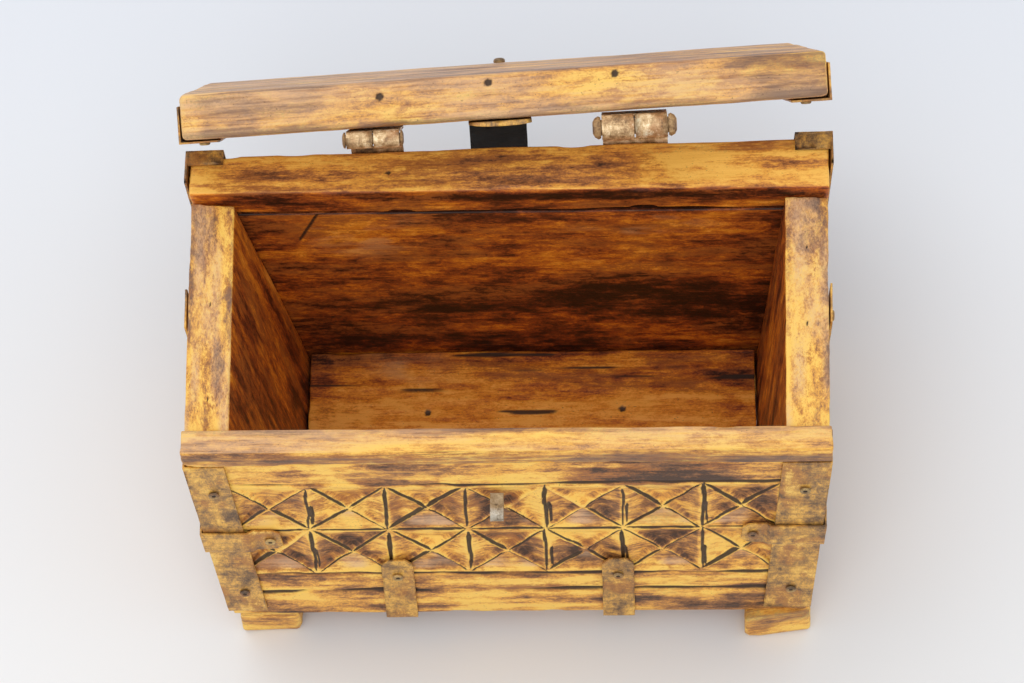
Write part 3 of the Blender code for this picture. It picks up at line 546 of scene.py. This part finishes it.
def lid_board(material):
    """Thick lid, paler where it is rubbed, brown at its ends, with knots in its hinge edge."""
    board = Board("lid_board", axes=long_axes(node_points("lid_board")), radius=2.6, least=2.3, waves=0.25,
                  wear=1.3, seed=31)
    along, _, through = board.flat.T
    rear = board.faces(-2)
    board.paint["bare"] = 0.78 - 0.0014 * along + 0.30 * noise(board.flat, (40, 12, 8), 59)
    wander = along + 8 * noise(board.flat, 20, 58)
    ends = ramp(wander, 212, 232) + 0.7 * ramp(wander, 4, 12) * (1 - ramp(wander, 45, 58))
    gold = 0.60 + 0.15 * fractal(board.flat, (50, 9, 6), 54, 3) - 0.14 * rear * ends
    gold += 0.10 * rear * hill(along, 190, 20) * ramp(-through, -10, -3)
    soot = 0.22 + 0.16 * fractal(board.flat, (40, 9, 5), 55, 2) + 0.42 * rear * ends
    soot += rear * 0.34 * ramp(-through + 1.5 * noise(board.flat, (12, 12, 30), 60), -5.0, -2.0)
    faces = board.faces(3) + board.faces(-3)
    soot += faces * (0.16 + 0.2 * noise(board.flat, (60, 6, 6), 61))
    gold -= 0.08 * faces
    for spot in ((79, 12.3), (172, 15.2), (122, 15)):
        board.pit(spot, 2.2, 1.1, -2)
    return board.build(material, gold, soot)


def foot(node, seed, material):
    """Block foot with well worn edges."""
    board = Board(node, step=0.9, radius=3.2, waves=0.4, wear=1.2, seed=seed)
    gold = 0.60 + 0.15 * fractal(board.flat, (25, 6, 4), seed + 40, 2)
    soot = 0.34 + 0.2 * fractal(board.flat, (20, 6, 4), seed + 41, 2)
    return board.build(material, gold, soot)


# ---------------------------------------------------------------- ironwork

def narrowed(points, axis, across, sign, reach):
    """Round off the end of a strap that points along a signed axis by narrowing it across."""
    end = (points[:, axis] * sign).max()
    share = np.clip((points[:, axis] * sign - end + reach) / reach, 0, 1)
    middle = (points[:, across].max() + points[:, across].min()) / 2
    points[:, across] = middle + (points[:, across] - middle) * np.sqrt(1 - 0.72 * share ** 2)


def slimmer_eye(points):
    """Draw what turns on the hasp's pin in towards the pin, so that it stays behind the lid's edge."""
    joint = next(j for j in frame["joints"] if j["name"] == "hasp_hinge")
    axis, pivot = np.array(joint["axis"]), np.array(joint["pos_m"]) / MM
    away = points - pivot
    away -= np.outer(away @ axis, axis)
    near = ramp(-np.linalg.norm(away, axis=1), -4.5, -3.0)
    points -= away * EYE_SLIMMING * near[:, None]


def lump(points):
    """Slim lugs, and a band over the lid's outer face that is hammered down towards its two ends."""
    slimmer_eye(points)
    axes = long_axes(node_points("lid_board"))
    lid = node_points("lid_board") / MM @ axes.T
    along, _, through = (points @ axes.T).T
    outer = np.sign(through.mean() - lid[:, 2].mean())
    face = lid[:, 2].max() if outer > 0 else lid[:, 2].min()
    proud = np.clip((through - face) * outer - 0.3, 0, None)
    middle, half = (along.max() + along.min()) / 2, (along.max() - along.min()) / 2
    loss = proud * BAND_HAMMERED * np.minimum(abs(along - middle) / half, 1) ** 3
    points -= np.outer(loss * outer, axes[2])


def forged(node, material, gold=0.55, soot=0.3, edge=0.22, step=STRAP_STEP, seed=1, end=None,
           shape=None):
    """A CAD strap or plate with its edges eased and its faces dented by the hammer.

    end holds what narrowed needs, and shape is a function that moves the points, both in millimetres.
    """
    bm = bmesh.new()
    bm.from_mesh(frame["nodes"][node].data)
    bmesh.ops.remove_doubles(bm, verts=bm.verts, dist=1e-6)
    bmesh.ops.dissolve_limit(bm, angle_limit=math.radians(1.5), verts=bm.verts, edges=bm.edges)
    sharp = [e for e in bm.edges if e.is_manifold and e.calc_face_angle() > SHARP_ANGLE]
    bmesh.ops.bevel(bm, geom=sharp, offset=edge * MM, segments=2, profile=0.5, affect="EDGES",
                    clamp_overlap=True)
    bmesh.ops.triangulate(bm, faces=bm.faces)
    for _ in range(6):
        long = [e for e in bm.edges if e.calc_length() > step * MM * 1.5]
        if not long:
            break
        bmesh.ops.subdivide_edges(bm, edges=long, cuts=1)
        bmesh.ops.triangulate(bm, faces=[f for f in bm.faces if len(f.verts) > 3])
    bm.normal_update()
    points = np.array([v.co for v in bm.verts]) / MM
    normals = np.array([v.normal for v in bm.verts])
    faces = [[v.index for v in f.verts] for f in bm.faces]
    bm.free()
    dips = HAMMER_DENT * (1 + fractal(points, 7, seed, 2)) / 2
    grain = points * (3.5, 0.8, 0.8) + 57.0 * seed
    points = points - normals * dips[:, None]
    if end:
        narrowed(points, *end)
    if shape:
        shape(points)
    none = np.zeros(len(points))
    paint = {"grain": grain, "gold": none + gold + 0.10 * fractal(grain, 14, 3, 2), "soot": none + soot,
             "cut": none, "bare": none, "inside": none}
    return make_piece(node + "_forged", points * MM, faces, material, body_of(node), (node,), paint)


BALL = ((0.98, 0.0), (1.0, 0.2), (1.0, 0.42), (0.93, 0.66), (0.74, 0.86), (0.45, 0.97), (0.15, 1.0))
DOME = ((0.96, 0.0), (1.0, 0.3), (0.92, 0.68), (0.74, 0.92), (0.55, 0.95), (0.42, 0.8))


def nail_head(node, material, seed, ball=False):
    """A hand-made head in the place of a CAD one: a flattened dome with a hollow in its middle, or a ball."""
    points = node_points(node)
    middle = points.mean(0)
    normal = np.linalg.svd(points - middle, full_matrices=False)[2][2]
    heights = (points - middle) @ normal
    spread = np.linalg.norm(points - middle - heights[:, None] * normal, axis=1)
    if spread[heights > heights.max() - 1e-5].max() > spread[heights < heights.min() + 1e-5].max():
        normal, heights = -normal, -heights
    base = middle + normal * heights.min()
    tall, radius = heights.max() - heights.min(), spread.max() * 0.97
    across = np.cross(normal, (0.3, 0.5, 0.8))
    across /= np.linalg.norm(across)
    other = np.cross(normal, across)
    hollow = 0.25 + 0.3 * random.Random(seed).random()
    profile = BALL if ball else (*DOME, (0.30, hollow), (0.12, hollow * 0.8))
    count = NAIL_SIDES
    rings = []
    for reach, lift in profile:
        turn = np.linspace(0, 2 * math.pi, count, endpoint=False)
        wobble = 1 + 0.05 * np.sin(turn * 2 + seed) + 0.03 * np.sin(turn * 5 + 2 * seed)
        size = radius * reach * np.minimum(wobble, 1.0)
        ring = np.outer(size * np.cos(turn), across) + np.outer(size * np.sin(turn), other)
        rings.append(base + ring + normal * tall * lift)
    faces = [list(range(count))[::-1]]
    for level in range(len(profile) - 1):
        start = level * count
        for i in range(count):
            j = (i + 1) % count
            faces.append([start + i, start + j, start + count + j, start + count + i])
    faces.append([(len(profile) - 1) * count + i for i in range(count)])
    points = np.concatenate(rings)
    none = np.zeros(len(points))
    # The sunken centre gets the dark cut tone, as painted shade in the hollow
    dirt_and_shade = [0] * len(BALL) if ball else [0, 0, 0, 0, 0, 0.2, 0.9, 1.0]
    paint = {"grain": points / MM + 41.0 * seed, "gold": none + 0.5, "soot": none + 0.35,
             "cut": np.repeat(dirt_and_shade, count), "bare": none, "inside": none}
    return make_piece(node + "_worn", points, faces, material, body_of(node), (node,), paint)


# ---------------------------------------------------------------- materials

class Tree:
    """Builds a material's node tree from short calls; a value is a number, a tuple or a node's output."""

    def __init__(self, name):
        self.material = bpy.data.materials.new(name)
        self.material.use_nodes = True
        self.tree = self.material.node_tree
        self.shader = self.tree.nodes["Principled BSDF"]

    def put(self, socket, value):
        if isinstance(value, bpy.types.NodeSocket):
            self.tree.links.new(value, socket)
        elif isinstance(value, tuple) and len(value) == 3 and socket.type == "RGBA":
            socket.default_value = (*value, 1)
        else:
            socket.default_value = value

    def add(self, kind, output=0, inputs=None, **settings):
        node = self.tree.nodes.new("ShaderNode" + kind)
        for key, value in settings.items():
            setattr(node, key, value)
        for key, value in (inputs or {}).items():
            self.put(node.inputs[key], value)
        return node.outputs[output]

    def value(self, name):
        return self.add("Attribute", 2, attribute_name=name)

    def vector(self, name):
        return self.add("Attribute", 1, attribute_name=name)

    def math(self, operation, a, b=0.0, clamp=False):
        return self.add("Math", 0, {0: a, 1: b}, operation=operation, use_clamp=clamp)

    def scale(self, vector, by):
        return self.add("VectorMath", 0, {0: vector, 1: by}, operation="MULTIPLY")

    def noise(self, vector, by, detail=4.0, roughness=0.55, distortion=0.0):
        """Noise from about 0.2 to 0.8 on a vector multiplied by a factor for each axis."""
        return self.add("TexNoise", 0, {"Vector": self.scale(vector, by), "Scale": 1.0, "Detail": detail,
                                        "Roughness": roughness, "Distortion": distortion})

    def spread(self, value, low, high, to_low=0.0, to_high=1.0):
        return self.add("MapRange", 0, {0: value, 1: low, 2: high, 3: to_low, 4: to_high}, clamp=True,
                        interpolation_type="SMOOTHSTEP")

    def mix(self, share, a, b):
        return self.add("Mix", 2, {0: share, 6: a, 7: b}, data_type="RGBA")

    def colours(self, value, *stops):
        node = self.tree.nodes.new("ShaderNodeValToRGB")
        ramp_stops = node.color_ramp.elements
        while len(ramp_stops) < len(stops):
            ramp_stops.new(0.5)
        for stop, (place, colour) in zip(ramp_stops, stops):
            stop.position = place
            stop.color = (*colour, 1)
        self.tree.links.new(value, node.inputs[0])
        return node.outputs[0]

    def total(self, first, *terms):
        """first plus each term, which is a value and a factor."""
        for value, factor in terms:
            first = self.math("ADD", first, self.math("MULTIPLY", value, factor))
        return first

    def finish(self, colour, roughness, height=None, bump=0.3, **uniform):
        self.put(self.shader.inputs["Base Color"], colour)
        self.put(self.shader.inputs["Roughness"], roughness)
        for key, value in uniform.items():
            self.put(self.shader.inputs[key.replace("_", " ")], value)
        if height is not None:
            normal = self.add("Bump", 0, {"Strength": bump, "Distance": MM, "Height": height})
            self.put(self.shader.inputs["Normal"], normal)
        return self.material


# Tones under and on the paint: the dirt tone also lays painted shade, the timber tone also painted sheen
DIRT_AND_SHADE, DIRT_INSIDE = (0.185, 0.115, 0.082), (0.075, 0.026, 0.008)
TIMBER_AND_SHEEN, TIMBER_INSIDE = (0.72, 0.46, 0.28), (0.66, 0.31, 0.12)
RUST = (0.36, 0.115, 0.022)
SPECK = (0.055, 0.032, 0.020)
# Near black of the cuts: painted shade in the V cuts and grooves; the same tone also marks cracks, holes and
# dark streaks
CUT = (0.034, 0.018, 0.011)


def painted(name, tones, inside=None, gloss=0.46, dirt_and_shade_tone=DIRT_AND_SHADE, **uniform):
    """Gold paint worn to ochre and brown: one tone runs through the colours, streaked along the grain."""
    t = Tree(name)
    grain = t.vector("grain")
    broad = t.noise(grain, (0.012, 0.12, 0.12), 5, 0.6, 0.6)
    fine = t.noise(grain, (0.045, 0.8, 0.8), 5, 0.62)
    blotch = t.noise(grain, (0.03, 0.06, 0.06), 6, 0.66, 0.4)
    scratch = t.noise(grain, (0.2, 2.6, 2.6), 3, 0.6)
    grit = t.noise(grain, (0.9, 1.3, 1.3), 4, 0.7)
    mottle = t.noise(grain, (0.12, 0.34, 0.34), 6, 0.72, 0.3)
    hue = t.noise(grain, (0.02, 0.08, 0.08), 4, 0.6)

    def around(value, by):
        return t.math("SUBTRACT", value, 0.5), by

    tone = t.total(t.value("gold"), around(broad, 0.65), around(fine, 0.4), around(blotch, 0.85),
                   around(scratch, 0.25), around(grit, 0.5), around(mottle, 1.0))
    colour = t.colours(tone, *tones)
    if inside:
        colour = t.mix(t.value("inside"), colour, t.colours(tone, *inside))
    middle = t.math("MULTIPLY", t.spread(tone, 0.2, 0.42), t.spread(tone, 0.55, 0.8, 1.0, 0.0))
    rust = t.math("MULTIPLY", middle, t.spread(hue, 0.47, 0.64, 0.0, 0.6))
    colour = t.mix(rust, colour, RUST)

    # The timber tone shows worn wood, and also the painted sheen on the tops of the front rail and the sides
    bare = t.math("MULTIPLY", t.value("bare"), t.spread(fine, 0.3, 0.6, 0.55, 1.0))
    timber_and_sheen = t.mix(t.value("inside"), TIMBER_AND_SHEEN, TIMBER_INSIDE)
    colour = t.mix(t.spread(bare, 0.1, 0.9, 0.0, 0.7), colour, timber_and_sheen)
    # This mask lays soiling and also the painted shade that the boards put into it
    dirt_and_shade = t.total(t.value("soot"), around(broad, -0.9), around(grit, 0.9), around(fine, -0.5))
    grime_and_shade = t.mix(t.value("inside"), dirt_and_shade_tone, DIRT_INSIDE)
    colour = t.mix(t.spread(dirt_and_shade, 0.25, 0.8, 0.0, 0.7), colour, grime_and_shade)
    specks = t.spread(t.noise(grain, (1.0, 1.5, 1.5), 2, 0.5), 0.68, 0.75)
    colour = t.mix(t.math("MULTIPLY", specks, 0.6), colour, SPECK)
    cut = t.math("MULTIPLY", t.value("cut"), t.spread(grit, 0.2, 0.5, 0.6, 1.0))
    colour = t.mix(t.spread(cut, 0.1, 0.7, 0.0, 0.95), colour, CUT)

    roughness = t.total(gloss, around(grit, 0.3), around(broad, -0.25))
    height = t.total(t.math("MULTIPLY", fine, 0.3), (scratch, 0.14), (grit, 0.18), (specks, -0.12))
    return t.finish(colour, roughness, height, 0.5, **uniform)


# Colours from the darkest to the brightest tone of a surface
OUTSIDE = ((0.16, (0.070, 0.032, 0.017)), (0.32, (0.205, 0.086, 0.034)), (0.43, (0.37, 0.157, 0.048)),
           (0.53, (0.60, 0.270, 0.062)), (0.64, (0.84, 0.410, 0.072)), (0.80, (0.97, 0.595, 0.118)))
INSIDE = ((0.12, (0.029, 0.007, 0.002)), (0.28, (0.120, 0.024, 0.006)), (0.42, (0.324, 0.067, 0.011)),
          (0.56, (0.576, 0.150, 0.013)), (0.70, (0.790, 0.262, 0.018)), (0.88, (0.960, 0.400, 0.060)))
STRAP = ((0.14, (0.085, 0.044, 0.022)), (0.32, (0.24, 0.128, 0.046)), (0.47, (0.47, 0.245, 0.062)),
         (0.62, (0.74, 0.395, 0.072)), (0.82, (0.90, 0.58, 0.13)))
NAIL = ((0.14, (0.050, 0.032, 0.020)), (0.36, (0.20, 0.125, 0.055)), (0.56, (0.44, 0.29, 0.11)),
        (0.80, (0.74, 0.50, 0.17)))
HINGE = ((0.14, (0.116, 0.065, 0.034)), (0.34, (0.406, 0.236, 0.104)), (0.50, (0.725, 0.486, 0.247)),
         (0.66, (0.970, 0.756, 0.468)), (0.86, (0.970, 0.970, 0.754)))


def old_metal(name, dark, middle, light, metallic, roughness, size=0.16):
    """Hammered iron with worn paint and rust in its hollows."""
    t = Tree(name)
    place = t.scale(t.add("TexCoord", 3), (1 / MM, 1 / MM, 1 / MM))
    blotch = t.noise(place, (size, size, size), 5, 0.62, 0.5)
    grit = t.noise(place, (1.1, 1.1, 1.1), 4, 0.65)
    tone = t.total(t.math("MULTIPLY", blotch, 0.7), (grit, 0.3))
    colour = t.colours(tone, (0.36, dark), (0.50, middle), (0.66, light))
    pits = t.spread(t.noise(place, (0.8, 0.8, 0.8), 3, 0.6), 0.62, 0.74)
    colour = t.mix(t.math("MULTIPLY", pits, 0.7), colour, dark)
    rough = t.total(roughness, (t.math("SUBTRACT", blotch, 0.5), 0.5))
    height = t.total(t.math("MULTIPLY", blotch, 0.5), (grit, 0.25), (pits, -0.2))
    return t.finish(colour, rough, height, 0.5, Metallic=metallic)


def backdrop_material():
    """Pale paper with a painted light falloff: warmer and brighter towards the front."""
    t = Tree("backdrop")
    along = t.add("SeparateXYZ", 1, {0: t.add("TexCoord", 3)})
    # Painted light falloff: brighter and warmer near, darker and bluer far
    near, far = (0.860, 0.855, 0.845), (0.715, 0.745, 0.810)
    colour = t.colours(t.spread(along, -0.35, 0.45), (0.0, near), (1.0, far))
    grit = t.noise(t.add("TexCoord", 3), (900.0, 900.0, 900.0), 3)
    return t.finish(colour, t.spread(grit, 0.3, 0.7, 0.55, 0.65))


# ---------------------------------------------------------------- studio

def floor(material):
    bpy.ops.mesh.primitive_plane_add(size=8)
    plane = bpy.context.object
    plane.name = "studio_floor"
    plane.data.materials.append(material)


def area_light(name, place, target, size, power, colour=(1, 1, 1)):
    data = bpy.data.lights.new(name, "AREA")
    data.shape = "DISK"
    data.size = size
    data.energy = power
    data.color = colour
    lamp = bpy.data.objects.new(name, data)
    bpy.context.scene.collection.objects.link(lamp)
    lamp.location = place
    lamp.rotation_euler = (Vector(target) - Vector(place)).to_track_quat("-Z", "Y").to_euler()


def studio():
    world = bpy.data.worlds.new("studio")
    world.use_nodes = True
    world.node_tree.nodes["Background"].inputs[0].default_value = (0.94, 0.965, 1.0, 1)
    world.node_tree.nodes["Background"].inputs[1].default_value = 0.80
    bpy.context.scene.world = world
    area_light("key", (-0.8, 0.8, 2.2), (0, 0, 0.05), 2.2, 14, (1.0, 0.985, 0.96))
    area_light("fill", (-0.1, -1.6, 1.9), (0, 0, 0.08), 1.8, 15, (1.0, 0.98, 0.95))
    bpy.context.scene.view_settings.view_transform = "Standard"
    bpy.context.scene.view_settings.look = "None"


def camera():
    data = bpy.data.cameras.new("camera")
    data.sensor_width = SENSOR
    data.lens = LENS
    forward = Vector((0, math.cos(CAMERA_ELEVATION), -math.sin(CAMERA_ELEVATION)))
    right = Vector((1, 0, 0))
    up = right.cross(forward)
    turn = Matrix.Rotation(CAMERA_YAW, 3, "Z")
    forward, right, up = (turn @ v for v in (forward, right, up))
    level = math.cos(CAMERA_ROLL) * right + math.sin(CAMERA_ROLL) * up
    upright = math.cos(CAMERA_ROLL) * up - math.sin(CAMERA_ROLL) * right
    obj = bpy.data.objects.new("camera", data)
    bpy.context.scene.collection.objects.link(obj)
    rail_low, rail_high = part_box("front_rail")
    place = Vector(((rail_low.x + rail_high.x) / 2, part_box("front_board")[0].y, 0)) + CAMERA_PLACE
    obj.matrix_world = Matrix.Translation(place) @ Matrix((level, upright, -forward)).transposed().to_4x4()
    bpy.context.scene.camera = obj


# ---------------------------------------------------------------- the whole box

def box():
    wood = painted("gold_paint", OUTSIDE, INSIDE, Specular_IOR_Level=0.35)
    strap = painted("strap_iron", STRAP, gloss=0.42, dirt_and_shade_tone=(0.165, 0.092, 0.048), Metallic=0.15)
    nail = painted("nail_iron", NAIL, gloss=0.40, Metallic=0.3)
    steel = painted("hinge_iron", HINGE, gloss=0.38, Metallic=0.25)
    pins = old_metal("pin_iron", (0.10, 0.055, 0.030), (0.38, 0.22, 0.095), (0.66, 0.44, 0.21), 0.2, 0.5, 0.3)
    bare = old_metal("bare_steel", (0.16, 0.12, 0.08), (0.42, 0.35, 0.26), (0.66, 0.60, 0.50), 0.5, 0.4, 0.3)
    # Near black for the hasp plate: blackened iron, darkened further as painted shadow for the shade it hangs
    # in
    black_and_shadow = old_metal("black_iron", (0.004, 0.004, 0.004), (0.007, 0.006, 0.005), (0.014, 0.012, 0.010),
                      0.2, 0.6)

    for make in (front_board, front_rail, back_rail, back_panel, floor_board, lid_board):
        make(wood)
    for side in SIDES:
        side_board(side, wood)
    for seed, (place, side) in enumerate(itertools.product(("front", "back"), SIDES)):
        foot(f"foot_{place}_{side}", 60 + seed, wood)

    for seed, (node, obj) in enumerate(sorted(frame["nodes"].items())):
        if obj.hide_render:
            continue
        if node.startswith("nail"):
            nail_head(node, nail, seed)
        elif node == "hasp_rivet":
            nail_head(node, nail, seed, ball=True)
        elif node == "hasp_plate":
            # The hasp plate takes the near black that stands for its shadow
            forged(node, black_and_shadow, seed=seed, shape=slimmer_eye)
        elif "strap" in node or node == "hasp_bracket":
            gold = next(value for kind, value in STRAP_GOLD.items() if node.startswith(kind))
            shape = lump if node == "hasp_bracket" else None
            forged(node, strap, gold, soot=0.22, seed=seed, end=ROUNDED_ENDS.get(node),
                   shape=shape)
        elif "leaf" in node:
            # Box-side leaves get less gold than lid leaves: painted shade, as they sit in shadow behind the
            # rail
            forged(node, steel, 0.56 if "lid" in node else 0.44, soot=0.15, edge=0.15,
                   step=LEAF_STEP, seed=seed)
        else:
            obj.data.materials.clear()
            obj.data.materials.append(pins if node.startswith("hinge_pin") else bare)


camera()
studio()
floor(backdrop_material())
box()
